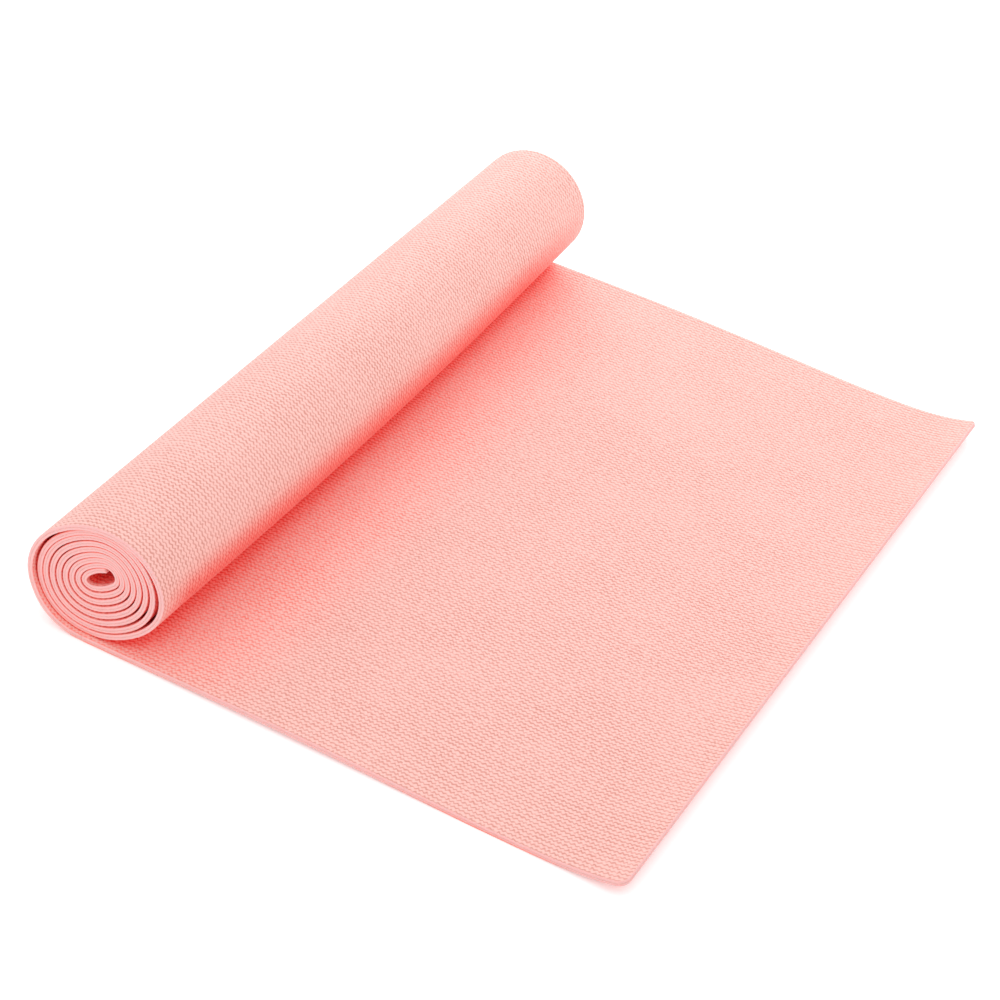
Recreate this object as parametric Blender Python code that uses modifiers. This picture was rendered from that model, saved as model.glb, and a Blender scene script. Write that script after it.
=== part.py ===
# A foam exercise mat, lying partly unrolled.
# One end is wound into a roll, the middle lies flat on the floor and the free end curls up a little.
# The sheet is three bonded layers: an upper foam, a woven scrim and a lower foam.
# X runs along the mat from the roll to the free edge, Y along the roll and Z up.

import math

import bmesh
import bpy
import numpy as np

# Driving dimensions, in metres

# The whole sheet, measured flat
MAT_LENGTH = 1.80
MAT_WIDTH = 0.61
SHEET_THICKNESS = 0.0037
SCRIM_THICKNESS = 0.0004
LAYER_GAP = 0.0003

# The stretch that lies unrolled, from where it leaves the roll to the free edge
UNROLLED_LENGTH = 0.377

# The winding: the free space between turns, and the hollow at its middle,
# which is flattened at the near end and nearly round at the far end
TURN_GAP = 0.00048
NEAR_EYE_LENGTH = 0.0180
NEAR_EYE_HEIGHT = 0.0050
FAR_EYE_LENGTH = 0.0125
FAR_EYE_HEIGHT = 0.0115
EYE_END_RADIUS = 0.0016
EYE_TILT_DEG = 20.0

# The last turns are loose at the near end: how far each stands out at its slack places
OUTER_TURN_RIGHT_SLACK = 0.0032
SECOND_TURN_RIGHT_SLACK = 0.0015
THIRD_TURN_RIGHT_SLACK = 0.0006
OUTER_TURN_LEFT_SLACK = 0.0010

# The turns slid along the roll while it was wound: the outermost turn most
OUTER_TURN_SLIDE = 0.0058
INNER_TURN_SLIDE = 0.0010

# The two lines across the sheet where it bends when an end is lifted,
# and the gap between one stretch of the sheet and the next
ROLL_BEND_DISTANCE = 0.080
FREE_END_LENGTH = 0.100
STRETCH_GAP = 0.0004
BEND_AXIS_CLEARANCE = 0.0002

# The curl and the rounded corners of the free end
NEAR_CORNER_LIFT = 0.0040
FAR_CORNER_LIFT = 0.0075
CORNER_RADIUS = 0.0040

# How finely the forms are divided
POINTS_PER_TURN = 24
GAUGE_POINTS_PER_TURN = 120
FREE_END_ROWS = 10
CORNER_SEGMENTS = 4

# The slack places: turns in from the outermost, from and to in degrees from +X, standing out
SLACK_PLACES = (
    (0, -72.0, 60.0, OUTER_TURN_RIGHT_SLACK),
    (1, -72.0, 60.0, SECOND_TURN_RIGHT_SLACK),
    (2, -72.0, 60.0, THIRD_TURN_RIGHT_SLACK),
    (0, 75.0, 240.0, OUTER_TURN_LEFT_SLACK),
)

# The share of a turn over which the outermost turn slid
OUTER_SLIDE_TURN_SHARE = 1.0

# Angles and counts for working out the winding
STRAIGHT_DOWN = 1.5 * math.pi
LEAVING_SEARCH = 0.1
LEAVING_STEPS = 2001
TANGENT_STEP = 0.0001
HALVINGS = 60
SHARP_EDGE_DEG = 40.0

# Worked-out sizes

FOAM_THICKNESS = (SHEET_THICKNESS - SCRIM_THICKNESS) / 2 - LAYER_GAP
FOAM_OFFSET = (SCRIM_THICKNESS + FOAM_THICKNESS) / 2 + LAYER_GAP
TURN_PITCH = SHEET_THICKNESS + TURN_GAP
TURN = 2 * math.pi

# The three layers: name, height above the sheet's middle, thickness
LAYERS = (
    ("upper_foam", FOAM_OFFSET, FOAM_THICKNESS),
    ("scrim", 0.0, SCRIM_THICKNESS),
    ("lower_foam", -FOAM_OFFSET, FOAM_THICKNESS),
)

# Colour, roughness and metallic value of each layer's material
LAYER_LOOKS = {
    "upper_foam": ((0.96, 0.50, 0.43), 0.75, 0.0),
    "scrim": ((0.93, 0.62, 0.56), 0.90, 0.0),
    "lower_foam": ((0.96, 0.53, 0.46), 0.75, 0.0),
}


def clear_scene():
    for old in list(bpy.data.objects):
        bpy.data.objects.remove(old, do_unlink=True)


def new_collection(name):
    collection = bpy.data.collections.new(name)
    bpy.context.scene.collection.children.link(collection)
    return collection


def layer_material(name, colour, roughness, metallic):
    material = bpy.data.materials.new(name)
    material.use_nodes = True
    shader = material.node_tree.nodes["Principled BSDF"]
    shader.inputs["Base Color"].default_value = (*colour, 1.0)
    shader.inputs["Roughness"].default_value = roughness
    shader.inputs["Metallic"].default_value = metallic
    return material


def smoothstep(share):
    share = np.clip(share, 0.0, 1.0)
    return share * share * (3 - 2 * share)


# The winding's mid-line is a flattened spiral: a small tilted ellipse, offset outwards by a
# distance that grows by one pitch a turn. The angle is that of the outward direction, from +X
# through +Z. The sheet leaves the roll at its lowest point, heading along +X.

# Each end of the roll: the ellipse's long and short half, and how much of the slack it has
NEAR_END = (NEAR_EYE_LENGTH / 2 - EYE_END_RADIUS, NEAR_EYE_HEIGHT / 2 - EYE_END_RADIUS, 1.0)
FAR_END = (FAR_EYE_LENGTH / 2 - EYE_END_RADIUS, FAR_EYE_HEIGHT / 2 - EYE_END_RADIUS, 0.0)


def slack_standoff(angle):
    standoff = np.zeros_like(angle)
    for turns_in, start_deg, stop_deg, slack in SLACK_PLACES:
        start = math.radians(start_deg) - turns_in * TURN
        share = (angle - start) / math.radians(stop_deg - start_deg)
        standoff += slack * np.sin(math.pi * np.clip(share, 0.0, 1.0)) ** 2
    return standoff


def winding_points(roll_end, angle, start_angle):
    long_half, short_half, slack_share = roll_end
    tilt = math.radians(EYE_TILT_DEG)
    reach = np.hypot(long_half * np.cos(angle - tilt), short_half * np.sin(angle - tilt))
    along = long_half ** 2 * np.cos(angle - tilt) / reach
    across = short_half ** 2 * np.sin(angle - tilt) / reach
    distance = EYE_END_RADIUS + SHEET_THICKNESS / 2
    distance = distance + TURN_PITCH * (angle - start_angle) / TURN
    distance = distance + slack_share * slack_standoff(angle)
    x = along * math.cos(tilt) - across * math.sin(tilt) + distance * np.cos(angle)
    z = along * math.sin(tilt) + across * math.cos(tilt) + distance * np.sin(angle)
    return np.column_stack((x, z))


def path_length(points):
    return np.linalg.norm(np.diff(points, axis=0), axis=1).sum()


def leaving_angle(start_angle):
    # The lowest point lies a little past straight down, because the spiral still grows there
    angle = np.linspace(STRAIGHT_DOWN, STRAIGHT_DOWN + LEAVING_SEARCH, LEAVING_STEPS)
    height = winding_points(NEAR_END, angle, start_angle)[:, 1]
    return float(angle[np.argmin(height)])


def gauge_angles(start_angle, end_angle):
    count = int(math.ceil((end_angle - start_angle) / TURN * GAUGE_POINTS_PER_TURN))
    return np.linspace(start_angle, end_angle, count + 1)


def winding_start():
    # The number of turns follows from the length of sheet that is left to wind
    wanted = MAT_LENGTH - UNROLLED_LENGTH
    fewest = 0.0
    most = wanted / EYE_END_RADIUS
    for _ in range(HALVINGS):
        middle = (fewest + most) / 2
        angles = gauge_angles(STRAIGHT_DOWN - middle, STRAIGHT_DOWN)
        if path_length(winding_points(NEAR_END, angles, angles[0])) < wanted:
            fewest = middle
        else:
            most = middle
    return STRAIGHT_DOWN - fewest


def slide_along_roll(angle, end_angle):
    turns_inward = (end_angle - angle) / TURN
    outer = OUTER_TURN_SLIDE * smoothstep(turns_inward / OUTER_SLIDE_TURN_SHARE)
    inner = INNER_TURN_SLIDE * np.maximum(turns_inward - OUTER_SLIDE_TURN_SHARE, 0.0)
    return outer + inner


def upward_normals(roll_end, angle, start_angle):
    ahead = winding_points(roll_end, angle + TANGENT_STEP, start_angle)
    behind = winding_points(roll_end, angle - TANGENT_STEP, start_angle)
    along = ahead - behind
    along /= np.linalg.norm(along, axis=1)[:, None]
    return np.column_stack((-along[:, 1], along[:, 0]))


def wound_stations(start_angle, end_angle):
    # The stations of one turn lie straight outside those of the turn before
    step = TURN / POINTS_PER_TURN
    count = int((end_angle - start_angle) / step)
    angles = end_angle - step * np.arange(count, -1, -1)
    if angles[0] - start_angle > TANGENT_STEP:
        angles = np.insert(angles, 0, start_angle)
    return angles


def report_gaps(start_angle, end_angle):
    angles = gauge_angles(start_angle, end_angle)
    apart = np.abs(angles[:, None] - angles[None, :]) > TURN / 2
    nearest = MAT_LENGTH
    for roll_end in (NEAR_END, FAR_END):
        points = winding_points(roll_end, angles, start_angle)
        spacing = np.linalg.norm(points[:, None, :] - points[None, :, :], axis=2)
        nearest = min(nearest, spacing[apart].min())
    millimetres = 1000
    print(f"turns in the roll: {(end_angle - start_angle) / TURN:.2f}")
    print(f"least gap between turns of the sheet: {(nearest - SHEET_THICKNESS) * millimetres:.2f} mm")
    for name, _, thickness in LAYERS:
        print(f"least gap of the wound {name} to itself: {(nearest - thickness) * millimetres:.2f} mm")


class Frame:
    # Where the pieces lie, with the middle of the whole mat's footprint at the origin

    def __init__(self):
        self.start_angle = winding_start()
        self.end_angle = leaving_angle(self.start_angle)
        self.angles = wound_stations(self.start_angle, self.end_angle)
        self.slides = slide_along_roll(self.angles, self.end_angle)
        near_middle, near_normals = self.end_outline(NEAR_END)
        far_middle, far_normals = self.end_outline(FAR_END)
        outside = np.vstack((near_middle - near_normals * SHEET_THICKNESS / 2,
                             far_middle - far_normals * SHEET_THICKNESS / 2))
        self.leaving_x = -(outside[:, 0].min() + UNROLLED_LENGTH) / 2
        self.near_y = -(MAT_WIDTH + self.slides[0]) / 2
        self.far_y = self.near_y + MAT_WIDTH
        self.middle_y = (self.near_y + self.far_y) / 2
        self.free_edge_x = self.leaving_x + UNROLLED_LENGTH
        self.roll_bend_x = self.leaving_x + ROLL_BEND_DISTANCE
        self.free_bend_x = self.free_edge_x - FREE_END_LENGTH
        self.axis_z = SHEET_THICKNESS + BEND_AXIS_CLEARANCE

    def end_outline(self, roll_end):
        # The sheet's middle at one end of the roll, measured from the leaving point
        middle = winding_points(roll_end, self.angles, self.start_angle)
        normals = upward_normals(roll_end, self.angles, self.start_angle)
        return middle - middle[-1] + np.array((0.0, SHEET_THICKNESS / 2)), normals

    def wound_edge(self, roll_end, offset, edge_y):
        # One edge of a layer: a line of points round the roll, slid along it turn by turn
        middle, normals = self.end_outline(roll_end)
        points = middle + normals * offset
        x = points[:, 0] + self.leaving_x
        return np.column_stack((x, edge_y + self.slides, points[:, 1]))


def add_solidified(mesh_data, name, thickness, origin, material, collection):
    mesh = bpy.data.meshes.new(name)
    mesh_data.to_mesh(mesh)
    mesh_data.free()
    mesh.materials.append(material)
    mesh.shade_smooth()
    mesh.set_sharp_from_angle(angle=math.radians(SHARP_EDGE_DEG))
    piece = bpy.data.objects.new(name, mesh)
    piece.location = origin
    collection.objects.link(piece)
    shell = piece.modifiers.new("thickness", "SOLIDIFY")
    shell.thickness = thickness
    shell.offset = 0.0
    shell.use_even_offset = True
    return piece


def add_ribbon(name, near_edge, far_edge, thickness, origin, material, collection):
    # The sheet drawn across from its near edge to its far edge
    ribbon = bmesh.new()
    near = [ribbon.verts.new(point - np.array(origin)) for point in near_edge]
    edges = [ribbon.edges.new(pair) for pair in zip(near, near[1:])]
    drawn = bmesh.ops.extrude_edge_only(ribbon, edges=edges)
    far = [item for item in drawn["geom"] if isinstance(item, bmesh.types.BMVert)]
    ribbon.verts.index_update()
    far.sort(key=lambda corner: corner.index)
    for corner, point in zip(far, far_edge):
        corner.co = point - np.array(origin)
    return add_solidified(ribbon, name, thickness, origin, material, collection)


def add_roll_layer(frame, layer, material, collection):
    # The wound stretch, from the hollow at its middle out to the leaving point
    name, offset, thickness = layer
    near_edge = frame.wound_edge(NEAR_END, offset, frame.near_y)
    far_edge = frame.wound_edge(FAR_END, offset, frame.far_y)
    origin = (frame.roll_bend_x, frame.middle_y, frame.axis_z)
    add_ribbon("roll_" + name, near_edge, far_edge, thickness, origin, material, collection)


def add_flat_layer(frame, stretch, layer, start_x, stop_x, origin, material, collection):
    name, offset, thickness = layer
    height = SHEET_THICKNESS / 2 + offset
    near_edge = [(x, frame.near_y, height) for x in (start_x, stop_x)]
    far_edge = [(x, frame.far_y, height) for x in (start_x, stop_x)]
    add_ribbon(stretch + name, near_edge, far_edge, thickness, origin, material, collection)


def add_roll_front_layer(frame, layer, material, collection):
    # The strip in front of the roll is a piece of its own, so that nothing fills the space
    # between it and the side of the roll. It lifts with the roll.
    start_x = frame.leaving_x + STRETCH_GAP
    stop_x = frame.roll_bend_x - STRETCH_GAP / 2
    origin = (frame.roll_bend_x, frame.middle_y, frame.axis_z)
    add_flat_layer(frame, "roll_front_", layer, start_x, stop_x, origin, material, collection)


def add_laid_layer(frame, layer, material, collection):
    start_x = frame.roll_bend_x + STRETCH_GAP / 2
    stop_x = frame.free_bend_x - STRETCH_GAP / 2
    origin = (start_x, frame.middle_y, 0.0)
    add_flat_layer(frame, "laid_", layer, start_x, stop_x, origin, material, collection)


def add_free_end_layer(frame, layer, material, collection):
    # A flat grid with two rounded corners, curled up towards the free edge
    name, offset, thickness = layer
    length = FREE_END_LENGTH - STRETCH_GAP / 2
    sheet = bmesh.new()
    bmesh.ops.create_grid(sheet, x_segments=FREE_END_ROWS, y_segments=FREE_END_ROWS, size=0.5)
    bmesh.ops.scale(sheet, verts=sheet.verts, vec=(length, MAT_WIDTH, 1.0))
    bmesh.ops.translate(sheet, verts=sheet.verts, vec=((length + STRETCH_GAP) / 2, 0.0, 0.0))
    free_corners = []
    for corner in sheet.verts:
        if len(corner.link_edges) == 2 and corner.co.x > length / 2:
            free_corners.append(corner)
    bmesh.ops.bevel(
        sheet,
        geom=free_corners,
        offset=CORNER_RADIUS,
        segments=CORNER_SEGMENTS,
        profile=0.5,
        affect="VERTICES",
    )
    origin = (frame.free_bend_x, frame.middle_y, frame.axis_z)
    for corner in sheet.verts:
        across_share = corner.co.y / MAT_WIDTH + 0.5
        lift = NEAR_CORNER_LIFT + (FAR_CORNER_LIFT - NEAR_CORNER_LIFT) * across_share
        curl = lift * (corner.co.x / FREE_END_LENGTH) ** 2
        corner.co.z = SHEET_THICKNESS / 2 + offset + curl - frame.axis_z
    add_solidified(sheet, "free_end_" + name, thickness, origin, material, collection)


def build_mat():
    clear_scene()
    collection = new_collection("exercise_mat")
    frame = Frame()
    for layer in LAYERS:
        material = layer_material(layer[0], *LAYER_LOOKS[layer[0]])
        add_roll_layer(frame, layer, material, collection)
        add_roll_front_layer(frame, layer, material, collection)
        add_laid_layer(frame, layer, material, collection)
        add_free_end_layer(frame, layer, material, collection)
    report_gaps(frame.start_angle, frame.end_angle)
    print(f"leaving point at x {frame.leaving_x:.5f}, near edge at y {frame.near_y:.5f}")
    print(f"roll bend at x {frame.roll_bend_x:.5f}, free bend at x {frame.free_bend_x:.5f}")
    print(f"bend axes at y {frame.middle_y:.5f}, z {frame.axis_z:.5f}")


build_mat()
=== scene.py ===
import math

import bpy
import numpy as np
from mathutils import Matrix, Vector


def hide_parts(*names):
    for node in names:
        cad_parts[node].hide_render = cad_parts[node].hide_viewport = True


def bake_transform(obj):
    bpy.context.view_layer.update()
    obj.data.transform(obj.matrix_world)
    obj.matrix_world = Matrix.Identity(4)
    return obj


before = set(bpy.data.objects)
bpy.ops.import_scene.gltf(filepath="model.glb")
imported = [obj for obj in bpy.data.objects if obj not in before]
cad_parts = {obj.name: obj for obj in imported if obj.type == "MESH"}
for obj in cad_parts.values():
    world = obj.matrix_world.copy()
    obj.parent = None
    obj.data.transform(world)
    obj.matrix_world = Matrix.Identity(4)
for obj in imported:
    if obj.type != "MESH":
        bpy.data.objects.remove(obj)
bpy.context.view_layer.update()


# THE VIEW
# The mat is seen from beside the open end of its roll, from above and with a long lens.
# The camera leans over, so that the laid stretch runs down and to the right.
VIEW_AZIMUTH_DEG = 21.283
VIEW_ELEVATION_DEG = 34.978
VIEW_LEAN_DEG = 10.928
VIEW_DISTANCE = 1.9606
VIEW_AIM = (-0.0295, -0.0066, 0.0)
SENSOR_WIDTH_MM = 36.0
FOCAL_LENGTH_MM = 102.97

azimuth = math.radians(VIEW_AZIMUTH_DEG)
elevation = math.radians(VIEW_ELEVATION_DEG)
towards_camera = Vector((
    math.sin(azimuth) * math.cos(elevation),
    -math.cos(azimuth) * math.cos(elevation),
    math.sin(elevation),
))
level_right = Vector((0, 0, 1)).cross(towards_camera).normalized()
level_up = towards_camera.cross(level_right)
lean = math.radians(VIEW_LEAN_DEG)
camera_right = math.cos(lean) * level_right + math.sin(lean) * level_up
camera_up = math.cos(lean) * level_up - math.sin(lean) * level_right
camera_data = bpy.data.cameras.new("view")
camera_data.sensor_width = SENSOR_WIDTH_MM
camera_data.lens = FOCAL_LENGTH_MM
camera = bpy.data.objects.new("view", camera_data)
camera.matrix_world = Matrix.Translation(
    Vector(VIEW_AIM) + VIEW_DISTANCE * towards_camera
) @ Matrix((camera_right, camera_up, towards_camera)).transposed().to_4x4()
bpy.context.scene.collection.objects.link(camera)
bpy.context.scene.camera = camera


# LOWER FOAM LAYER
# The mat is one sheet of closed-cell PVC foam, cast on both sides of an open fabric, embossed
# while it is hot, and cut to size. This is its underside, which shows on the outside of the roll.
MAT_LENGTH = 1.80
MAT_WIDTH = 0.61
SHEET_THICKNESS = 0.0037
SCRIM_THICKNESS = 0.0003
LAID_LENGTH = 0.377
WOUND_LENGTH = MAT_LENGTH - LAID_LENGTH
LEAVING_X = -0.16592
MIDDLE_Y = -0.0067

# The hollow at each end of the roll is a flattened eye, long and low at the near end.
# Its sizes are of the wound sheet's own inner face, with the small radius of its two tips.
EYE_TIP_RADIUS = 0.0016
NEAR_EYE_LENGTH = 0.02034
NEAR_EYE_HEIGHT = 0.00819
NEAR_EYE_TILT_DEG = 33.12
FAR_EYE_LENGTH = 0.0125
FAR_EYE_HEIGHT = 0.0115
FAR_EYE_TILT_DEG = 20.0

# From its wound end outwards the sheet goes anticlockwise, as the near end shows it. A turn is
# lowest at three quarters of the way round from its right-hand side. The winding is worked out a
# little past its last lowest point, by this angle in radians.
TURN = 2.0 * math.pi
LOWEST_TURN_SHARE = 0.75
PAST_LOWEST = 0.06
FEWEST_TURNS = 8.1
MOST_TURNS = 9.3
TURNS_SEARCH_STEPS = 40
WOUND_STATIONS = 512
# The gap between turns, how much it opens below the hollow and closes above it, and how far the
# turns wave in and out three times in each round, as the wave's cosine and sine parts.
LEAST_TURN_GAP = 0.00012
NEAR_TURN_GAP = 0.00049
NEAR_GAP_TO_BELOW = 0.00022
FAR_TURN_GAP = 0.00048
FAR_GAP_TO_BELOW = 0.0
NEAR_TRIPLE_WAVE = (0.0000951, -0.0001901)
FAR_TRIPLE_WAVE = (0.0, 0.0)
# How far the outer turns stand off an even winding, by turns back from the floor. The seams that
# show at the near end give it. The far end is wound evenly.
NEAR_STAND_OFF = (
    (0.0, -0.00402),
    (0.125, -0.00298),
    (0.25, 0.00037),
    (0.375, 0.00107),
    (0.5, -0.00002),
    (0.625, 0.00302),
    (0.75, 0.00566),
    (0.875, 0.00083),
    (1.0, -0.00224),
    (1.25, -0.00183),
    (1.375, -0.00020),
    (1.5, 0.00050),
    (1.625, 0.00120),
    (1.75, 0.00240),
    (1.875, 0.00080),
    (2.0, -0.00170),
    (2.25, -0.00040),
    (2.5, 0.00040),
    (2.75, 0.00100),
    (3.0, -0.00098),
    (3.5, -0.00030),
    (3.75, 0.00010),
    (4.0, -0.00098),
    (4.5, -0.00065),
    (4.75, -0.00040),
    (5.0, -0.00098),
)
FAR_STAND_OFF = ((0.0, 0.0),)
# The foam can't follow a corner in that table, so it is read over a short stretch of the sheet.
STAND_OFF_EASE_TURNS = 0.08
EASE_READINGS = 13
EASE_REACH_SHARE = 0.9


def eye_outline(eye, angle, distance):
    """Points at a distance outside the eye's outline, in the directions of its normals."""
    length, height, tilt_deg = eye
    long_half = length / 2 - EYE_TIP_RADIUS
    short_half = height / 2 - EYE_TIP_RADIUS
    tilt = math.radians(tilt_deg)
    reach = np.hypot(long_half * np.cos(angle - tilt), short_half * np.sin(angle - tilt))
    along = long_half ** 2 * np.cos(angle - tilt) / reach
    across = short_half ** 2 * np.sin(angle - tilt) / reach
    x = along * math.cos(tilt) - across * math.sin(tilt) + distance * np.cos(angle)
    z = along * math.sin(tilt) + across * math.cos(tilt) + distance * np.sin(angle)
    return x, z


def eased_stand_off(stand_off, back):
    """The stand-off table read at these turns back, with the nearest readings counting most."""
    places = [place for place, size in stand_off]
    sizes = [size for place, size in stand_off]
    total = np.zeros_like(back)
    weight_sum = 0.0
    for share in np.linspace(-EASE_REACH_SHARE, EASE_REACH_SHARE, EASE_READINGS):
        weight = 0.5 + 0.5 * math.cos(math.pi * share)
        total += weight * np.interp(back + share * STAND_OFF_EASE_TURNS, places, sizes)
        weight_sum += weight
    return total / weight_sum


def wind_end(turns, eye, gap, gap_to_below, stand_off, triple_wave):
    """The sheet's mid-line round one end of the roll, from its wound end to the floor."""
    lowest_angle = LOWEST_TURN_SHARE * TURN
    angle = np.linspace(lowest_angle - turns * TURN, lowest_angle + PAST_LOWEST, WOUND_STATIONS)
    turns_out = (angle - angle[0]) / TURN
    pitch = SHEET_THICKNESS + gap - gap_to_below * np.sin(angle)
    distance = EYE_TIP_RADIUS + SHEET_THICKNESS / 2 + turns_out * pitch
    distance += eased_stand_off(stand_off, LOWEST_TURN_SHARE - angle / TURN)
    distance += triple_wave[0] * np.cos(3 * angle) + triple_wave[1] * np.sin(3 * angle)
    # A turn rests on the one inside it and never goes into it.
    for station in range(WOUND_STATIONS):
        inside = angle[station] - TURN
        if inside >= angle[0]:
            rest = np.interp(inside, angle[:station], distance[:station])
            distance[station] = max(distance[station], rest + SHEET_THICKNESS + LEAST_TURN_GAP)
    x, z = eye_outline(eye, angle, distance)
    # The winding ends where it is lowest, and the laid stretch goes on level from there.
    last_quarter = WOUND_STATIONS - int(WOUND_STATIONS / turns / 4)
    lowest = last_quarter + int(np.argmin(z[last_quarter:]))
    kept = np.linspace(0, lowest, WOUND_STATIONS)
    stations = np.arange(WOUND_STATIONS)
    x = np.interp(kept, stations, x)
    z = np.interp(kept, stations, z)
    angle = np.interp(kept, stations, angle)
    length = np.concatenate(([0.0], np.cumsum(np.hypot(np.diff(x), np.diff(z)))))
    return x, z, angle, length


def wound_edge(eye, gap, gap_to_below, stand_off, triple_wave):
    """The mid-line at one end of the roll, with as many turns as use up the wound length."""
    fewest = FEWEST_TURNS
    most = MOST_TURNS
    for step in range(TURNS_SEARCH_STEPS):
        turns = (fewest + most) / 2
        x, z, angle, length = wind_end(turns, eye, gap, gap_to_below, stand_off, triple_wave)
        if length[-1] > WOUND_LENGTH:
            most = turns
        else:
            fewest = turns
    x = x - x[-1] + LEAVING_X
    z = z - z[-1] + SHEET_THICKNESS / 2
    normal_x = -np.gradient(z)
    normal_z = np.gradient(x)
    size = np.hypot(normal_x, normal_z)
    normal_x = normal_x / size
    normal_z = normal_z / size
    # The last station turns to lie level, as the laid stretch does.
    normal_x[-1] = 0.0
    normal_z[-1] = 1.0
    back = (angle[-1] - angle) / TURN
    return {"x": x, "z": z, "normal_x": normal_x, "normal_z": normal_z, "along": length, "back": back}


near_edge = wound_edge(
    (NEAR_EYE_LENGTH, NEAR_EYE_HEIGHT, NEAR_EYE_TILT_DEG),
    NEAR_TURN_GAP,
    NEAR_GAP_TO_BELOW,
    NEAR_STAND_OFF,
    NEAR_TRIPLE_WAVE,
)
far_edge = wound_edge(
    (FAR_EYE_LENGTH, FAR_EYE_HEIGHT, FAR_EYE_TILT_DEG),
    FAR_TURN_GAP,
    FAR_GAP_TO_BELOW,
    FAR_STAND_OFF,
    FAR_TRIPLE_WAVE,
)
wound_along = (near_edge["along"] + far_edge["along"]) / 2
wound_back = (near_edge["back"] + far_edge["back"]) / 2

# The turns have slid along the roll: each lies a little deeper than the one outside it.
OUTER_TURN_SLIDE = 0.00383
INNER_TURN_SLIDE = 0.00070
# Half way along the roll, the loose outer turn bellies out just above the floor.
BELLY = 0.0045
BELLY_BACK_TURNS = 0.83
BELLY_HALF_SPAN_TURNS = 0.22
# The laid stretch keeps some of its curl: it arches a little off the floor beside the roll,
# touches down where the free end starts, and the free end turns up, most at the far corner.
ARCH_HEIGHT = 0.0021
ARCH_EASE = 1.3
FREE_END_LENGTH = 0.100
NEAR_CORNER_LIFT = 0.0077
FAR_CORNER_LIFT = 0.0100
CURL_POWER = 3.8


def eased(share):
    """A share from 0 to 1 that starts and ends gently."""
    return share ** 2 * (3 - 2 * share)


def wound_place(along, share):
    """The mid-surface of the roll, by distance from the wound end and share of the width: x, z,
    the normal's x and z, and how far the turn has slid along the roll."""
    between = {}
    for name in ("x", "z", "normal_x", "normal_z"):
        near = np.interp(along, wound_along, near_edge[name])
        far = np.interp(along, wound_along, far_edge[name])
        between[name] = near + (far - near) * share
    size = np.hypot(between["normal_x"], between["normal_z"])
    normal_x = between["normal_x"] / size
    normal_z = between["normal_z"] / size
    back = np.interp(along, wound_along, wound_back)
    nearness = np.clip(1.0 - np.abs(back - BELLY_BACK_TURNS) / BELLY_HALF_SPAN_TURNS, 0.0, 1.0)
    belly = BELLY * eased(nearness) * np.sin(math.pi * np.clip(share, 0, 1))
    slide = OUTER_TURN_SLIDE * eased(np.clip(back, 0.0, 1.0))
    slide = slide + INNER_TURN_SLIDE * np.maximum(back - 1.0, 0.0)
    return between["x"] - normal_x * belly, between["z"] - normal_z * belly, normal_x, normal_z, slide


def laid_place(laid, share):
    """The mid-surface of the laid stretch, by distance from the roll and share of the width: x, z,
    and the normal's x and z."""
    arch_length = LAID_LENGTH - FREE_END_LENGTH
    arch_turn = math.pi * np.clip(laid / arch_length, 0.0, 1.0)
    arch_rise = np.clip(np.sin(arch_turn), 0.0, 1.0)
    arch_slope = ARCH_HEIGHT * ARCH_EASE * arch_rise ** (ARCH_EASE - 1) * np.cos(arch_turn)
    corner_lift = NEAR_CORNER_LIFT + (FAR_CORNER_LIFT - NEAR_CORNER_LIFT) * share
    curl = np.clip((laid - arch_length) / FREE_END_LENGTH, 0.0, 1.0)
    curl_slope = CURL_POWER * corner_lift * curl ** (CURL_POWER - 1) / FREE_END_LENGTH
    slope = arch_slope * math.pi / arch_length + curl_slope
    lift = ARCH_HEIGHT * arch_rise ** ARCH_EASE + corner_lift * curl ** CURL_POWER
    steep = np.hypot(slope, 1.0)
    return LEAVING_X + laid, SHEET_THICKNESS / 2 + lift, -slope / steep, 1.0 / steep


def place_on_sheet(along, across, height):
    """Points at a height over the sheet's mid-surface, by distance from the wound end and
    from the middle of the width."""
    share = across / MAT_WIDTH + 0.5
    laid = np.maximum(along - WOUND_LENGTH, 0.0)
    laid_x, laid_z, laid_normal_x, laid_normal_z = laid_place(laid, share)
    wound_x, wound_z, wound_normal_x, wound_normal_z, wound_slide = wound_place(along, share)
    on_floor = laid > 0
    x = np.where(on_floor, laid_x, wound_x)
    z = np.where(on_floor, laid_z, wound_z)
    normal_x = np.where(on_floor, laid_normal_x, wound_normal_x)
    normal_z = np.where(on_floor, laid_normal_z, wound_normal_z)
    slide = np.where(on_floor, 0.0, wound_slide)
    return np.stack((
        x + normal_x * height,
        MIDDLE_Y + across + slide,
        z + normal_z * height,
    ), axis=-1)


# The mat's corners are cut round and its cut edges are pressed a little round. A row of points
# close behind each cut edge holds its shape.
NEAR_CORNER_RADIUS = 0.007
FAR_CORNER_RADIUS = 0.003
CORNER_ROWS = 6
CUT_EDGE_ROUNDING = 0.0005
EDGE_HOLD = 0.0014
COLUMNS = 40
LAID_STATION_SPACING = 0.0020
# No other row of the winding comes closer than this to the wound end, and to the place where two
# pieces of a layer meet.
WOUND_END_CLEARANCE = CUT_EDGE_ROUNDING + EDGE_HOLD * 1.5
MEETING_CLEARANCE = EDGE_HOLD / 2


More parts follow.
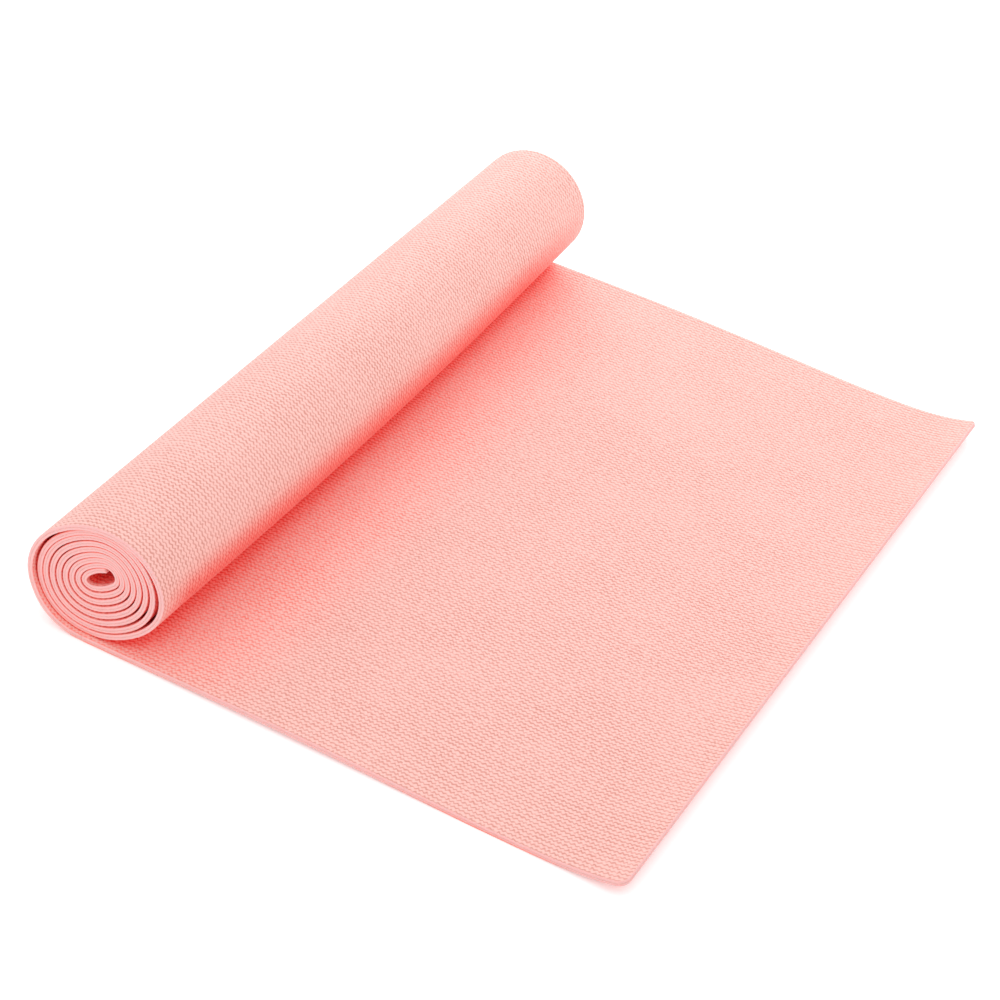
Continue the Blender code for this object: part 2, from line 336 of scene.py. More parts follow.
def row_places(start, stop, inset):
    """Distances along the sheet of a piece's rows, and each row's reach to the near and the far
    edge from the middle of the width."""
    if start == 0.0:
        rows = [inset, inset + EDGE_HOLD]
        least = WOUND_END_CLEARANCE
    else:
        rows = [start]
        least = start + MEETING_CLEARANCE
    rows += [place for place in wound_along if least < place < min(stop, WOUND_LENGTH)]
    laid_stop = stop
    if stop == MAT_LENGTH:
        laid_stop = MAT_LENGTH - max(NEAR_CORNER_RADIUS, FAR_CORNER_RADIUS)
    laid_start = max(start, WOUND_LENGTH)
    laid_rows = int(round((laid_stop - laid_start) / LAID_STATION_SPACING))
    laid_places = list(np.linspace(laid_start, laid_stop, laid_rows + 1))
    rows += laid_places[1:] if start >= WOUND_LENGTH else laid_places
    if stop == MAT_LENGTH:
        corner_length = MAT_LENGTH - inset - laid_stop
        for step in range(1, CORNER_ROWS + 1):
            rows.append(laid_stop + corner_length * math.sin(step / CORNER_ROWS * TURN / 4))
    rows = np.array(rows)
    reaches = []
    for corner_radius in (NEAR_CORNER_RADIUS, FAR_CORNER_RADIUS):
        radius = corner_radius - inset
        into_corner = np.clip(rows - (MAT_LENGTH - corner_radius), 0.0, radius)
        rounding = radius - np.sqrt(radius ** 2 - into_corner ** 2)
        reaches.append(MAT_WIDTH / 2 - inset - rounding)
    return rows, reaches[0], reaches[1]


def column_shares():
    """Places across the sheet, from -1 to 1, with one close to each cut edge to hold it."""
    hold = 1.0 - 2.0 * EDGE_HOLD / MAT_WIDTH
    return np.concatenate(([-1.0], np.linspace(-hold, hold, COLUMNS), [1.0]))


def layer_surface(start, stop, levels):
    """The points of a closed layer, the same points on the flat sheet, the quads of its two faces
    and the quads of its edges."""
    points = []
    flat_points = []
    outlines = []
    face_grids = []
    count = 0
    shares = column_shares()
    for inset, height in levels:
        rows, near_reaches, far_reaches = row_places(start, stop, inset)
        along = np.repeat(rows[:, None], len(shares), axis=1)
        across = np.where(shares < 0, near_reaches[:, None], far_reaches[:, None]) * shares
        placed = place_on_sheet(along, across, height).reshape(-1, 3)
        flat = np.stack((along, across), axis=-1).reshape(-1, 2)
        grid = np.arange(along.size).reshape(along.shape)
        outline = np.concatenate((grid[:, 0], grid[-1, 1:], grid[-2::-1, -1], grid[0, -2:0:-1]))
        # The first and last levels are the layer's faces. Between them only the outline is needed.
        if (inset, height) in (levels[0], levels[-1]):
            face_grids.append(grid + count)
            outlines.append(outline + count)
        else:
            placed = placed[outline]
            flat = flat[outline]
            outlines.append(np.arange(len(outline)) + count)
        points.append(placed)
        flat_points.append(flat)
        count += len(placed)
    face_quads = []
    for grid in face_grids:
        quads = np.stack((grid[:-1, :-1], grid[1:, :-1], grid[1:, 1:], grid[:-1, 1:]), axis=-1)
        face_quads.append(quads.reshape(-1, 4))
    face_quads[0] = face_quads[0][:, ::-1]
    edge_quads = [
        np.stack((lower, np.roll(lower, -1), np.roll(upper, -1), upper), axis=-1)
        for lower, upper in zip(outlines[:-1], outlines[1:])
    ]
    return (
        np.concatenate(points),
        np.concatenate(flat_points),
        np.concatenate(face_quads),
        np.concatenate(edge_quads),
    )


def sheet_layer(name, start, stop, levels, face_material, edge_material):
    """A closed layer of the sheet between two distances along it. Each level is an inset from
    the cut edges and a height over the mid-surface; the first and last are the layer's faces."""
    points, flat_points, face_quads, edge_quads = layer_surface(start, stop, levels)
    quads = np.concatenate((face_quads, edge_quads))
    mesh = bpy.data.meshes.new(name)
    mesh.from_pydata(points.tolist(), [], quads.tolist())
    mesh.materials.append(face_material)
    mesh.materials.append(edge_material)
    is_edge = np.arange(len(quads)) >= len(face_quads)
    mesh.polygons.foreach_set("material_index", is_edge.astype(np.int32))
    mesh.polygons.foreach_set("use_smooth", np.ones(len(quads), dtype=bool))
    # The sheet's own flat measures, in metres, carry the embossing and the weave.
    flat_map = mesh.uv_layers.new(name="flat_sheet")
    corner_points = np.empty(len(mesh.loops), dtype=np.int32)
    mesh.loops.foreach_get("vertex_index", corner_points)
    flat_map.data.foreach_set("uv", flat_points[corner_points].astype(np.float32).ravel())
    # Where two pieces of the same layer meet, their shared cut has a sharp edge, so no line shows.
    meeting_places = [place for place in (start, stop) if 0.0 < place < MAT_LENGTH]
    meets = np.isin(flat_points[:, 0], meeting_places)
    edge_ends = np.empty(len(mesh.edges) * 2, dtype=np.int32)
    mesh.edges.foreach_get("vertices", edge_ends)
    edge_ends = edge_ends.reshape(-1, 2)
    mesh.edges.foreach_set("use_edge_sharp", meets[edge_ends[:, 0]] & meets[edge_ends[:, 1]])
    mesh.validate()
    mesh.update()
    piece = bpy.data.objects.new(name, mesh)
    bpy.context.scene.collection.objects.link(piece)
    return piece


def linear_colour(hex_colour):
    """An sRGB hex colour as linear red, green, blue and full alpha."""
    channels = []
    for place in (1, 3, 5):
        value = int(hex_colour[place:place + 2], 16) / 255
        if value <= 0.04045:
            channels.append(value / 12.92)
        else:
            channels.append(((value + 0.055) / 1.055) ** 2.4)
    return (*channels, 1.0)


def add_node(tree, kind, settings, values, links):
    """One node, with its settings, the values of its inputs and the outputs linked to them."""
    node = tree.nodes.new(kind)
    for name, value in settings.items():
        setattr(node, name, value)
    for name, value in values.items():
        node.inputs[name].default_value = value
    for name, output in links.items():
        tree.links.new(output, node.inputs[name])
    return node


def new_material(name):
    """An empty node material."""
    material = bpy.data.materials.new(name)
    material.use_nodes = True
    material.node_tree.nodes.clear()
    return material


# A Mix node has sockets for each kind of data, some under the same name. These are the places of
# the ones that mix two colours.
MIX_FACTOR = 0
FIRST_COLOUR = 6
SECOND_COLOUR = 7
MIXED_COLOUR = 2

# Closed-cell PVC foam, embossed by a patterned roller while it is hot: a matt, slightly waxy skin
# in close rows of small soft bumps. The eye sees fine lines along the mat and no clear highlight.
EMBOSSED_ROW_PITCH = 0.0035
EMBOSSED_BUMP_PITCH = 0.00316
EMBOSSED_DEPTH = 0.00035
EMBOSSED_WANDER_SIZE = 0.009
EMBOSSED_STRENGTH = 0.8
# How far the bumps and rows are drawn out of line, in radians of their own waves.
BUMP_WANDER = 6.0
ROW_WANDER = 2.4
ROW_ZIGZAG = 1.0
# How much the bumps and the uneven pressing add to the rows, and the range that this comes to.
BUMP_ADDS = 0.22
UNEVEN_ADDS = 1.6
RELIEF_LOW = -0.6
RELIEF_HIGH = 1.6
# The skin's grains are about 1.1 mm across, and the patches where its colour drifts about 71 mm.
GRAINS_PER_METRE = 900.0
GRAIN_ADDS = 0.25
PATCHES_PER_METRE = 14.0
PATCH_ADDS = 0.35
WANDER_NOISE = {"Scale": 1.0 / EMBOSSED_WANDER_SIZE, "Detail": 2.0, "Roughness": 0.6}
UNEVEN_NOISE = {"Scale": 1.0 / EMBOSSED_BUMP_PITCH, "Detail": 1.0, "Roughness": 0.5}
GRAIN_NOISE = {"Scale": GRAINS_PER_METRE, "Detail": 2.0, "Roughness": 0.5}
PATCH_NOISE = {"Scale": PATCHES_PER_METRE, "Detail": 3.0, "Roughness": 0.55}
FOAM_COLOUR = "#FFC3BA"
# The grooves between the bumps are painted darker, as painted shade in the embossing's pits, and a
# deeper red where other foam shelters them.
FOAM_GROOVE_SHADE_COLOUR = "#D68475"
FOAM_SHELTERED_GROOVE_SHADE_COLOUR = "#FF7868"
FOAM_IOR = 1.53
FOAM_ROUGHNESS = 0.62
FOAM_SHEEN = 0.12


def embossed_height(tree, place, split, row_shift):
    """The embossing's height, from 0 in a groove to 1 on a bump."""
    wander = add_node(
        tree, "ShaderNodeTexNoise", {"noise_dimensions": "2D"}, WANDER_NOISE,
        {"Vector": place.outputs[0]},
    )
    uneven = add_node(
        tree, "ShaderNodeTexNoise", {"noise_dimensions": "2D"}, UNEVEN_NOISE,
        {"Vector": place.outputs[0]},
    )
    along_phase = add_node(
        tree, "ShaderNodeMath", {"operation": "MULTIPLY"}, {1: TURN / EMBOSSED_BUMP_PITCH},
        {0: split.outputs["X"]},
    )
    along_wander = add_node(
        tree, "ShaderNodeMath", {"operation": "MULTIPLY_ADD"}, {1: BUMP_WANDER},
        {0: wander.outputs[0], 2: along_phase.outputs[0]},
    )
    zigzag = add_node(tree, "ShaderNodeMath", {"operation": "SINE"}, {}, {0: along_wander.outputs[0]})
    across_phase = add_node(
        tree, "ShaderNodeMath", {"operation": "MULTIPLY_ADD"},
        {1: TURN / EMBOSSED_ROW_PITCH, 2: row_shift}, {0: split.outputs["Y"]},
    )
    across_wander = add_node(
        tree, "ShaderNodeMath", {"operation": "MULTIPLY_ADD"}, {1: ROW_WANDER},
        {0: uneven.outputs[0], 2: across_phase.outputs[0]},
    )
    across_bent = add_node(
        tree, "ShaderNodeMath", {"operation": "MULTIPLY_ADD"}, {1: ROW_ZIGZAG},
        {0: zigzag.outputs[0], 2: across_wander.outputs[0]},
    )
    row_wave = add_node(tree, "ShaderNodeMath", {"operation": "COSINE"}, {}, {0: across_bent.outputs[0]})
    bump_phase = add_node(
        tree, "ShaderNodeMath", {"operation": "ADD"}, {1: TURN / 4}, {0: along_wander.outputs[0]},
    )
    bump_wave = add_node(tree, "ShaderNodeMath", {"operation": "SINE"}, {}, {0: bump_phase.outputs[0]})
    relief = add_node(
        tree, "ShaderNodeMath", {"operation": "MULTIPLY_ADD"}, {1: BUMP_ADDS},
        {0: bump_wave.outputs[0], 2: row_wave.outputs[0]},
    )
    worn_relief = add_node(
        tree, "ShaderNodeMath", {"operation": "MULTIPLY_ADD"}, {1: UNEVEN_ADDS},
        {0: uneven.outputs[0], 2: relief.outputs[0]},
    )
    return add_node(
        tree, "ShaderNodeMapRange", {"interpolation_type": "SMOOTHSTEP"},
        {"From Min": RELIEF_LOW, "From Max": RELIEF_HIGH}, {"Value": worn_relief.outputs[0]},
    )


# Painted shade: where the foam's own pink walls stand close, in the fold beside the roll, and low on
# the roll, where it turns under, these deeper colours multiply the foam's own.
FOAM_PAINTED_SHADE_COLOUR = "#FFA296"
FOAM_PAINTED_SHADE_GROOVE_COLOUR = "#EE463C"
FOAM_SHELTER_REACH = 0.08
FOAM_SHELTER_SAMPLES = 16
# Openness runs from 1 on a bare flat to 0 deep inside. Each pair is where a change starts and
# where it is complete.
GROOVE_SHELTER_OPENNESS = (1.0, 0.8)
OTHER_FOAM_OPENNESS = (1.0, 0.93)
FOLD_OPENNESS = (0.43, 0.22)
# The upward part of the surface's direction, where the roll starts to turn under and has turned.
# The painted shade low on the roll follows it, so faces that turn down are painted darker.
TURNED_UNDER_FACING = (0.62, -0.2)
# Painted light: light comes in at the roll's open ends, so the painted shade on its outside is
# weaker there and it is painted paler, most of all at the far end, which faces the large lamp. The
# painted shade in the fold is weaker a little way in from a cut edge too.
NEAR_END_PALE_LENGTH = 0.030
FAR_END_PALE_LENGTH = 0.100
END_PAINTED_SHADE_SHARE = 0.1
CUT_PALE_LENGTH = 0.003
CUT_PAINTED_SHADE_SHARE = 0.45


def painted_shade_amount(tree, split, own_openness):
    """How much painted shade deepens the foam's colour, from 0 in the open to 1 where foam faces foam.
    """
    facing = add_node(tree, "ShaderNodeNewGeometry", {}, {}, {})
    facing_split = add_node(
        tree, "ShaderNodeSeparateXYZ", {}, {}, {"Vector": facing.outputs["Normal"]},
    )
    turned_under = add_node(
        tree, "ShaderNodeMapRange", {},
        {"From Min": TURNED_UNDER_FACING[0], "From Max": TURNED_UNDER_FACING[1]},
        {"Value": facing_split.outputs["Z"]},
    )
    near_other_foam = add_node(
        tree, "ShaderNodeMapRange", {},
        {"From Min": OTHER_FOAM_OPENNESS[0], "From Max": OTHER_FOAM_OPENNESS[1]},
        {"Value": own_openness.outputs["AO"]},
    )
    low_on_roll = add_node(
        tree, "ShaderNodeMath", {"operation": "MULTIPLY"}, {},
        {0: turned_under.outputs[0], 1: near_other_foam.outputs[0]},
    )
    # Painted light: less painted shade towards the roll's open ends.
    past_near_end = add_node(
        tree, "ShaderNodeMapRange", {},
        {
            "From Min": -MAT_WIDTH / 2,
            "From Max": -MAT_WIDTH / 2 + NEAR_END_PALE_LENGTH,
            "To Min": END_PAINTED_SHADE_SHARE,
        },
        {"Value": split.outputs["Y"]},
    )
    past_far_end = add_node(
        tree, "ShaderNodeMapRange", {},
        {
            "From Min": MAT_WIDTH / 2,
            "From Max": MAT_WIDTH / 2 - FAR_END_PALE_LENGTH,
            "To Min": END_PAINTED_SHADE_SHARE,
        },
        {"Value": split.outputs["Y"]},
    )
    away_from_end = add_node(
        tree, "ShaderNodeMath", {"operation": "MINIMUM"}, {},
        {0: past_near_end.outputs[0], 1: past_far_end.outputs[0]},
    )
    low_inside = add_node(
        tree, "ShaderNodeMath", {"operation": "MULTIPLY"}, {},
        {0: low_on_roll.outputs[0], 1: away_from_end.outputs[0]},
    )
    openness = add_node(
        tree, "ShaderNodeAmbientOcclusion", {"samples": FOAM_SHELTER_SAMPLES},
        {"Distance": FOAM_SHELTER_REACH}, {},
    )
    in_fold = add_node(
        tree, "ShaderNodeMapRange", {},
        {"From Min": FOLD_OPENNESS[0], "From Max": FOLD_OPENNESS[1]},
        {"Value": openness.outputs["AO"]},
    )
    # Painted light: less painted shade in the fold just behind a cut edge.
    from_middle = add_node(
        tree, "ShaderNodeMath", {"operation": "ABSOLUTE"}, {}, {0: split.outputs["Y"]},
    )
    behind_cut = add_node(
        tree, "ShaderNodeMapRange", {},
        {
            "From Min": MAT_WIDTH / 2,
            "From Max": MAT_WIDTH / 2 - CUT_PALE_LENGTH,
            "To Min": CUT_PAINTED_SHADE_SHARE,
        },
        {"Value": from_middle.outputs[0]},
    )
    fold_inside = add_node(
        tree, "ShaderNodeMath", {"operation": "MULTIPLY"}, {},
        {0: in_fold.outputs[0], 1: behind_cut.outputs[0]},
    )
    return add_node(
        tree, "ShaderNodeMath", {"operation": "MAXIMUM"}, {},
        {0: low_inside.outputs[0], 1: fold_inside.outputs[0]},
    )


def embossed_foam(name, row_shift):
    """The embossed skin, whose rows are shifted by this many radians of their own wave."""
    material = new_material(name)
    tree = material.node_tree
    place = add_node(tree, "ShaderNodeUVMap", {"uv_map": "flat_sheet"}, {}, {})
    split = add_node(tree, "ShaderNodeSeparateXYZ", {}, {}, {"Vector": place.outputs[0]})
    height = embossed_height(tree, place, split, row_shift)
    grains = add_node(
        tree, "ShaderNodeTexNoise", {"noise_dimensions": "2D"}, GRAIN_NOISE,
        {"Vector": place.outputs[0]},
    )
    grained = add_node(
        tree, "ShaderNodeMath", {"operation": "MULTIPLY_ADD"}, {1: GRAIN_ADDS},
        {0: grains.outputs[0], 2: height.outputs[0]},
    )
    skin = add_node(
        tree, "ShaderNodeBump", {}, {"Strength": EMBOSSED_STRENGTH, "Distance": EMBOSSED_DEPTH},
        {"Height": grained.outputs[0]},
    )
    patches = add_node(
        tree, "ShaderNodeTexNoise", {"noise_dimensions": "2D"}, PATCH_NOISE,
        {"Vector": place.outputs[0]},
    )
    # Painted shade: the grooves take the groove colour by the embossing's height, mixed with random
    # patches of tone.
    groove_shade_and_patches = add_node(
        tree, "ShaderNodeMath", {"operation": "MULTIPLY_ADD"}, {1: PATCH_ADDS},
        {0: patches.outputs[0], 2: height.outputs[0]},
    )
    own_openness = add_node(
        tree, "ShaderNodeAmbientOcclusion",
        {"samples": FOAM_SHELTER_SAMPLES, "only_local": True}, {"Distance": FOAM_SHELTER_REACH}, {},
    )
    sheltered_groove_shade = add_node(
        tree, "ShaderNodeMapRange", {},
        {"From Min": GROOVE_SHELTER_OPENNESS[0], "From Max": GROOVE_SHELTER_OPENNESS[1]},
        {"Value": own_openness.outputs["AO"]},
    )
    # Painted shade: the groove colour turns a deeper red where other foam of the piece shelters it.
    groove = add_node(
        tree, "ShaderNodeMix", {"data_type": "RGBA"},
        {
            FIRST_COLOUR: linear_colour(FOAM_GROOVE_SHADE_COLOUR),
            SECOND_COLOUR: linear_colour(FOAM_SHELTERED_GROOVE_SHADE_COLOUR),
        },
        {MIX_FACTOR: sheltered_groove_shade.outputs[0]},
    )
    colour = add_node(
        tree, "ShaderNodeMix", {"data_type": "RGBA"}, {SECOND_COLOUR: linear_colour(FOAM_COLOUR)},
        {MIX_FACTOR: groove_shade_and_patches.outputs[0], FIRST_COLOUR: groove.outputs[MIXED_COLOUR]},
    )
    # Painted shade: deeper colours, darker still in the grooves, multiply the foam's colour by this
    # amount.
    painted_shade_share = painted_shade_amount(tree, split, own_openness)
    painted_shade_colour = add_node(
        tree, "ShaderNodeMix", {"data_type": "RGBA"},
        {
            FIRST_COLOUR: linear_colour(FOAM_PAINTED_SHADE_GROOVE_COLOUR),
            SECOND_COLOUR: linear_colour(FOAM_PAINTED_SHADE_COLOUR),
        },
        {MIX_FACTOR: height.outputs[0]},
    )
    colour_with_painted_shade = add_node(
        tree, "ShaderNodeMix", {"data_type": "RGBA", "blend_type": "MULTIPLY"}, {},
        {
            MIX_FACTOR: painted_shade_share.outputs[0],
            FIRST_COLOUR: colour.outputs[MIXED_COLOUR],
            SECOND_COLOUR: painted_shade_colour.outputs[MIXED_COLOUR],
        },
    )
    surface = add_node(
        tree, "ShaderNodeBsdfPrincipled", {},
        {"Roughness": FOAM_ROUGHNESS, "IOR": FOAM_IOR, "Sheen Weight": FOAM_SHEEN},
        {"Base Color": colour_with_painted_shade.outputs[MIXED_COLOUR], "Normal": skin.outputs[0]},
    )
    add_node(tree, "ShaderNodeOutputMaterial", {}, {}, {"Surface": surface.outputs[0]})
    return material


# The same foam where a blade has cut it: the cells lie open, so the edge is smooth, dull and a little
# deeper in colour than the skin. The gaps between the turns are painted deeper still, as painted shade.
CUT_FOAM_COLOUR = "#FFC1BE"
CUT_FOAM_GAP_SHADE_COLOUR = "#FF7C68"
CUT_GAP_REACH = 0.003
CUT_GAP_OPENNESS = (0.97, 0.5)
CUT_CELL_SIZE = 0.0004
CUT_CELL_DEPTH = CUT_CELL_SIZE / 4
CUT_CELL_STRENGTH = 0.35
CUT_FOAM_ROUGHNESS = 0.75
# Light soaks a little way into the open cells, and red light the farthest.
CUT_FOAM_SOAK = 0.25
CUT_FOAM_SOAK_DEPTH = 0.0015
CUT_FOAM_SOAK_SHARES = (1.0, 0.35, 0.3)


def cut_foam(name):
    """The open-celled face of a cut edge."""
    material = new_material(name)
    tree = material.node_tree
    place = add_node(tree, "ShaderNodeTexCoord", {}, {}, {})
    cells = add_node(
        tree, "ShaderNodeTexVoronoi", {"feature": "F1"}, {"Scale": 1.0 / CUT_CELL_SIZE},
        {"Vector": place.outputs["Object"]},
    )
    pores = add_node(
        tree, "ShaderNodeBump", {}, {"Strength": CUT_CELL_STRENGTH, "Distance": CUT_CELL_DEPTH},
        {"Height": cells.outputs["Distance"]},
    )
    # Painted shade: the cut face is coloured deeper where it is enclosed, in the gaps between the turns.
    openness = add_node(
        tree, "ShaderNodeAmbientOcclusion", {"samples": FOAM_SHELTER_SAMPLES},
        {"Distance": CUT_GAP_REACH}, {},
    )
    gap_shade = add_node(
        tree, "ShaderNodeMapRange", {},
        {"From Min": CUT_GAP_OPENNESS[0], "From Max": CUT_GAP_OPENNESS[1]},
        {"Value": openness.outputs["AO"]},
    )
    colour = add_node(
        tree, "ShaderNodeMix", {"data_type": "RGBA"},
        {
            FIRST_COLOUR: linear_colour(CUT_FOAM_COLOUR),
            SECOND_COLOUR: linear_colour(CUT_FOAM_GAP_SHADE_COLOUR),
        },
        {MIX_FACTOR: gap_shade.outputs[0]},
    )
    surface = add_node(
        tree, "ShaderNodeBsdfPrincipled", {},
        {
            "Roughness": CUT_FOAM_ROUGHNESS,
            "IOR": FOAM_IOR,
            "Subsurface Weight": CUT_FOAM_SOAK,
            "Subsurface Radius": CUT_FOAM_SOAK_SHARES,
            "Subsurface Scale": CUT_FOAM_SOAK_DEPTH,
        },
        {"Base Color": colour.outputs[MIXED_COLOUR], "Normal": pores.outputs[0]},
    )
    add_node(tree, "ShaderNodeOutputMaterial", {}, {}, {"Surface": surface.outputs[0]})
    return material


# The rows of the two sides are embossed apart, so they don't line up.
LOWER_ROW_SHIFT = 0.0

lower_skin = embossed_foam("embossed_pvc_foam_lower", LOWER_ROW_SHIFT)
cut_edge = cut_foam("knife_cut_pvc_foam")

# Both pieces of a layer meet about half way along the laid stretch, where neither ever moves.
MEETING_FROM_ROLL = 0.180
MEETING_PLACE = WOUND_LENGTH + MEETING_FROM_ROLL
# The cut edge is rounded to a quarter circle. The two points between its ends, a third and two
# thirds of the way round, lie these shares of the rounding away from the edge and from the face.
FAR_ROUND_SHARE = 0.5
NEAR_ROUND_SHARE = 0.134
# Where foam and scrim meet there is no rounding, only the least step that keeps the corner sharp.
FACE_SHARPNESS = 0.00005

half_scrim = SCRIM_THICKNESS / 2
half_sheet = SHEET_THICKNESS / 2
lower_levels = (
    (CUT_EDGE_ROUNDING, -half_sheet),
    (CUT_EDGE_ROUNDING * FAR_ROUND_SHARE, -half_sheet + CUT_EDGE_ROUNDING * NEAR_ROUND_SHARE),
    (CUT_EDGE_ROUNDING * NEAR_ROUND_SHARE, -half_sheet + CUT_EDGE_ROUNDING * FAR_ROUND_SHARE),
    (0.0, -half_sheet + CUT_EDGE_ROUNDING),
    (0.0, -half_scrim - FACE_SHARPNESS),
    (FACE_SHARPNESS, -half_scrim),
)


def bend_with_roll(piece):
    """Bakes the piece's placement into its mesh."""
    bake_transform(piece)


def bend_with_free_end(piece):
    """Bakes the piece's placement into its mesh."""
    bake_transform(piece)


lower_foam_roll = sheet_layer(
    "lower_foam_roll", 0.0, MEETING_PLACE, lower_levels, lower_skin, cut_edge
)
lower_foam_end = sheet_layer(
    "lower_foam_end", MEETING_PLACE, MAT_LENGTH, lower_levels, lower_skin, cut_edge
)
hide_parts("roll_lower_foam", "roll_front_lower_foam", "laid_lower_foam")
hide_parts("laid_lower_foam", "free_end_lower_foam")
bend_with_roll(lower_foam_roll)
bend_with_free_end(lower_foam_end)


# SCRIM
# An open plain-woven polyester fabric in the middle of the foam, which keeps the mat from
# stretching. The foam is cast through it, so only its cut edge shows, as thin as a thread.
scrim_levels = (
    (FACE_SHARPNESS, -half_scrim),
    (0.0, -half_scrim + FACE_SHARPNESS),
    (0.0, half_scrim - FACE_SHARPNESS),
    (FACE_SHARPNESS, half_scrim),
)

# Plain-woven polyester: short pale floats of thread, every second row half a float along, with
# small deeper openings between them. It is dull, and too fine to see but from very near.
SCRIM_THREAD_COLOUR = "#F9B9B2"
SCRIM_CROSS_THREAD_COLOUR = "#FCC6BF"
SCRIM_OPENING_COLOUR = "#F2A59B"
SCRIM_THREAD_SPACING = 0.0012
SCRIM_FLOAT_LENGTH = 2 * SCRIM_THREAD_SPACING
SCRIM_OPENING_SIZE = SCRIM_THREAD_SPACING / 6
SCRIM_ROW_OFFSET_SHARE = 0.5
SCRIM_ROUGHNESS = 0.8

scrim_material = new_material("woven_polyester_scrim")
scrim_tree = scrim_material.node_tree
scrim_place = add_node(scrim_tree, "ShaderNodeUVMap", {"uv_map": "flat_sheet"}, {}, {})
scrim_threads = add_node(
    scrim_tree, "ShaderNodeTexBrick", {"offset": SCRIM_ROW_OFFSET_SHARE},
    {
        "Color1": linear_colour(SCRIM_THREAD_COLOUR),
        "Color2": linear_colour(SCRIM_CROSS_THREAD_COLOUR),
        "Mortar": linear_colour(SCRIM_OPENING_COLOUR),
        "Scale": 1.0,
        "Mortar Size": SCRIM_OPENING_SIZE,
        "Brick Width": SCRIM_FLOAT_LENGTH,
        "Row Height": SCRIM_THREAD_SPACING,
    },
    {"Vector": scrim_place.outputs[0]},
)
scrim_surface = add_node(
    scrim_tree, "ShaderNodeBsdfPrincipled", {}, {"Roughness": SCRIM_ROUGHNESS},
    {"Base Color": scrim_threads.outputs["Color"]},
)
add_node(scrim_tree, "ShaderNodeOutputMaterial", {}, {}, {"Surface": scrim_surface.outputs[0]})

scrim_roll = sheet_layer(
    "scrim_roll", 0.0, MEETING_PLACE, scrim_levels, scrim_material, scrim_material
)
scrim_end = sheet_layer(
    "scrim_end", MEETING_PLACE, MAT_LENGTH, scrim_levels, scrim_material, scrim_material
)
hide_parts("roll_scrim", "roll_front_scrim", "laid_scrim")
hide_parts("laid_scrim", "free_end_scrim")
bend_with_roll(scrim_roll)
bend_with_free_end(scrim_end)


# UPPER FOAM LAYER
# The top of the mat: the same foam, cast on the scrim and embossed in rows of its own. It shows
# along the laid stretch and lines the roll's hollow, and its cut edge shows at the roll's ends.
UPPER_ROW_SHIFT = 1.3

upper_skin = embossed_foam("embossed_pvc_foam_upper", UPPER_ROW_SHIFT)
upper_levels = tuple((inset, -height) for inset, height in reversed(lower_levels))
upper_foam_roll = sheet_layer(
    "upper_foam_roll", 0.0, MEETING_PLACE, upper_levels, upper_skin, cut_edge
)
upper_foam_end = sheet_layer(
    "upper_foam_end", MEETING_PLACE, MAT_LENGTH, upper_levels, upper_skin, cut_edge
)
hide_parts("roll_upper_foam", "roll_front_upper_foam", "laid_upper_foam")
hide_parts("laid_upper_foam", "free_end_upper_foam")
bend_with_roll(upper_foam_roll)
bend_with_free_end(upper_foam_end)


# FLOOR AND LIGHT
# A plain white floor and soft studio light: an even white room, a large lamp above the roll's far
# end, a low one beside its open end and a small one past the free end's far corner. The floor
# adds white for the camera only and keeps the shadow.
FLOOR_SIZE = 12.0
FLOOR_COLOUR = "#F2F2F2"
FLOOR_WHITE_LIFT = 0.36

floor_mesh = bpy.data.meshes.new("studio_floor")
half_floor = FLOOR_SIZE / 2
floor_mesh.from_pydata(
    [
        (-half_floor, -half_floor, 0),
        (half_floor, -half_floor, 0),
        (half_floor, half_floor, 0),
        (-half_floor, half_floor, 0),
    ],
    [],
    [(0, 1, 2, 3)],
)
floor = bpy.data.objects.new("studio_floor", floor_mesh)
bpy.context.scene.collection.objects.link(floor)
floor_material = new_material("white_studio_floor")
floor_tree = floor_material.node_tree
floor_paint = add_node(
    floor_tree, "ShaderNodeBsdfDiffuse", {}, {"Color": linear_colour(FLOOR_COLOUR)}, {},
)
floor_rays = add_node(floor_tree, "ShaderNodeLightPath", {}, {}, {})
seen_or_glossy = add_node(
    floor_tree, "ShaderNodeMath", {"operation": "MAXIMUM"}, {},
    {0: floor_rays.outputs["Is Camera Ray"], 1: floor_rays.outputs["Is Glossy Ray"]},
)
seen_at_all = add_node(
    floor_tree, "ShaderNodeMath", {"operation": "MAXIMUM"}, {},
    {0: seen_or_glossy.outputs[0], 1: floor_rays.outputs["Is Transmission Ray"]},
)
floor_lift_strength = add_node(
    floor_tree, "ShaderNodeMath", {"operation": "MULTIPLY"}, {1: FLOOR_WHITE_LIFT},
    {0: seen_at_all.outputs[0]},
)
floor_lift = add_node(
    floor_tree, "ShaderNodeEmission", {}, {}, {"Strength": floor_lift_strength.outputs[0]},
)
floor_surface = add_node(
    floor_tree, "ShaderNodeAddShader", {}, {}, {0: floor_paint.outputs[0], 1: floor_lift.outputs[0]},
)
add_node(floor_tree, "ShaderNodeOutputMaterial", {}, {}, {"Surface": floor_surface.outputs[0]})
floor_mesh.materials.append(floor_material)

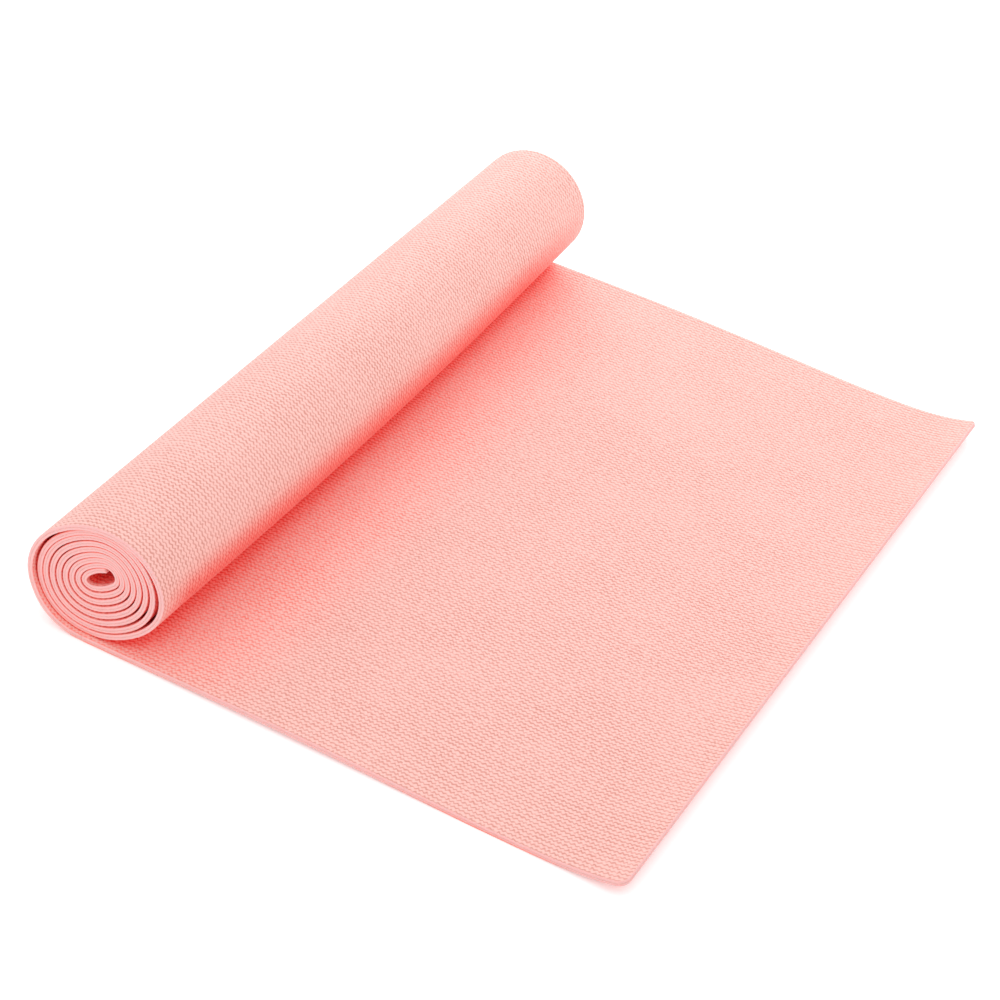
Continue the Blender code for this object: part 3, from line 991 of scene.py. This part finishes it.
# The room lights the mat a little less than it shows to the camera, where it is plain white.
ROOM_COLOUR = "#FFFFFF"
ROOM_LIGHT = 0.95
ROOM_SEEN = 1.0

room = bpy.data.worlds.new("white_room")
bpy.context.scene.world = room
room.use_nodes = True
room.node_tree.nodes.clear()
room_rays = add_node(room.node_tree, "ShaderNodeLightPath", {}, {}, {})
room_seen = add_node(
    room.node_tree, "ShaderNodeMath", {"operation": "MAXIMUM"}, {},
    {0: room_rays.outputs["Is Camera Ray"], 1: room_rays.outputs["Is Transmission Ray"]},
)
room_strength = add_node(
    room.node_tree, "ShaderNodeMapRange", {}, {"To Min": ROOM_LIGHT, "To Max": ROOM_SEEN},
    {"Value": room_seen.outputs[0]},
)
room_glow = add_node(
    room.node_tree, "ShaderNodeBackground", {}, {"Color": linear_colour(ROOM_COLOUR)},
    {"Strength": room_strength.outputs[0]},
)
add_node(room.node_tree, "ShaderNodeOutputWorld", {}, {}, {"Surface": room_glow.outputs[0]})

# Each lamp is a round soft box: its name, how far across it is, its watts and where it stands.
SOFT_LAMPS = (
    ("large_soft_lamp", 1.2, 8.0, (-0.6, 1.15, 0.7)),
    ("low_fill_lamp", 1.2, 4.0, (-0.8, -1.9, 0.3)),
    ("far_side_lamp", 0.6, 2.5, (0.5, 1.1, 0.35)),
)
# Light has to pass from wall to wall of the fold many times to glow as deep as it does.
DIFFUSE_BOUNCES = 16

for lamp_name, lamp_size, lamp_watts, lamp_place in SOFT_LAMPS:
    lamp_data = bpy.data.lights.new(lamp_name, "AREA")
    lamp_data.shape = "DISK"
    lamp_data.size = lamp_size
    lamp_data.energy = lamp_watts
    lamp = bpy.data.objects.new(lamp_name, lamp_data)
    lamp.location = lamp_place
    lamp.rotation_euler = Vector(lamp_place).to_track_quat("Z", "Y").to_euler()
    bpy.context.scene.collection.objects.link(lamp)

bpy.context.scene.view_settings.view_transform = "Standard"
bpy.context.scene.cycles.diffuse_bounces = DIFFUSE_BOUNCES
bpy.context.scene.cycles.max_bounces = DIFFUSE_BOUNCES
